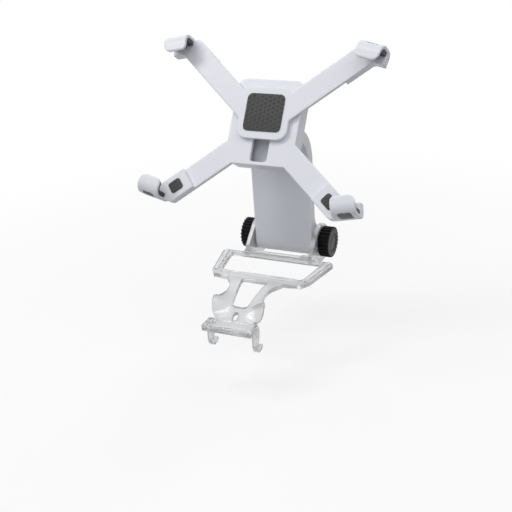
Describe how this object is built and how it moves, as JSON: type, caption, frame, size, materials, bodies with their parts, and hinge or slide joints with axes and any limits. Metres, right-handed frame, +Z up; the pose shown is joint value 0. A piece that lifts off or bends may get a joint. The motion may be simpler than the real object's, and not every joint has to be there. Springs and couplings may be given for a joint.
{
  "type": "controller phone clip",
  "caption": "Clip that stands a phone above a game controller: clear hook-on frame, tilting arm with clamp knobs, and sprung claws on an X of bars.",
  "frame": {"origin": "in the plane of the clear frame's flat underside, which rests on the controller round its touchpad, on the middle line just behind the front bar", "axes": "+X to the right as the player sees it, +Y away from the player, +Z up out of the controller, square to the clear frame"},
  "size_m": [0.1272, 0.1005, 0.1527],
  "materials": {
    "clear_plastic": "clear polycarbonate, polished",
    "white_plastic": "satin cool white",
    "black_plastic": "satin black",
    "grey_plastic": "satin dark grey",
    "rubber": "matte",
    "steel": "zinc plated",
    "brass": "plain"
  },
  "bodies": {
    "frame": {"controller_frame": "clear_plastic", "hinge_yoke": "clear_plastic", "friction_washers": "black_plastic"},
    "left_knob_body": {"left_knob": "black_plastic", "left_knob_cap": "grey_plastic", "pivot_bolt": "steel"},
    "right_knob_body": {"right_knob": "black_plastic", "right_knob_cap": "grey_plastic", "knob_nut": "brass"},
    "arm": {"arm_front_shell": "white_plastic", "arm_rear_cover": "white_plastic", "arm_screws": "steel", "pivot_sleeve": "steel", "neck_screws": "steel", "lower_bracket": "white_plastic", "rear_housing": "white_plastic", "housing_screws": "steel", "guide_rods": "steel", "left_spring": "steel", "right_spring": "steel", "lower_left_liner": "rubber", "lower_right_liner": "rubber", "lower_left_back_pad": "rubber", "lower_right_back_pad": "rubber"},
    "jaw": {"upper_carriage": "white_plastic", "slider_block": "white_plastic", "slider_screws": "steel", "upper_left_liner": "rubber", "upper_right_liner": "rubber", "upper_back_pad": "rubber"}
  },
  "joints": [
    {"name": "arm_tilt", "type": "hinge", "parent": "frame", "child": "arm", "pos_m": [0, 0.042, 0.007], "axis": [1, 0, 0], "range_deg": [-70, 30]},
    {"name": "left_knob_turn", "type": "hinge", "parent": "frame", "child": "left_knob_body", "pos_m": [0, 0.042, 0.007], "axis": [1, 0, 0], "continuous": true},
    {"name": "right_knob_turn", "type": "hinge", "parent": "frame", "child": "right_knob_body", "pos_m": [0, 0.042, 0.007], "axis": [1, 0, 0], "continuous": true},
    {"name": "jaw_slide", "type": "slide", "parent": "arm", "child": "jaw", "axis": [0, 0.5563, 0.831], "range_m": [-0.022, 0.005], "deforming": ["left_spring", "right_spring"]}
  ]
}
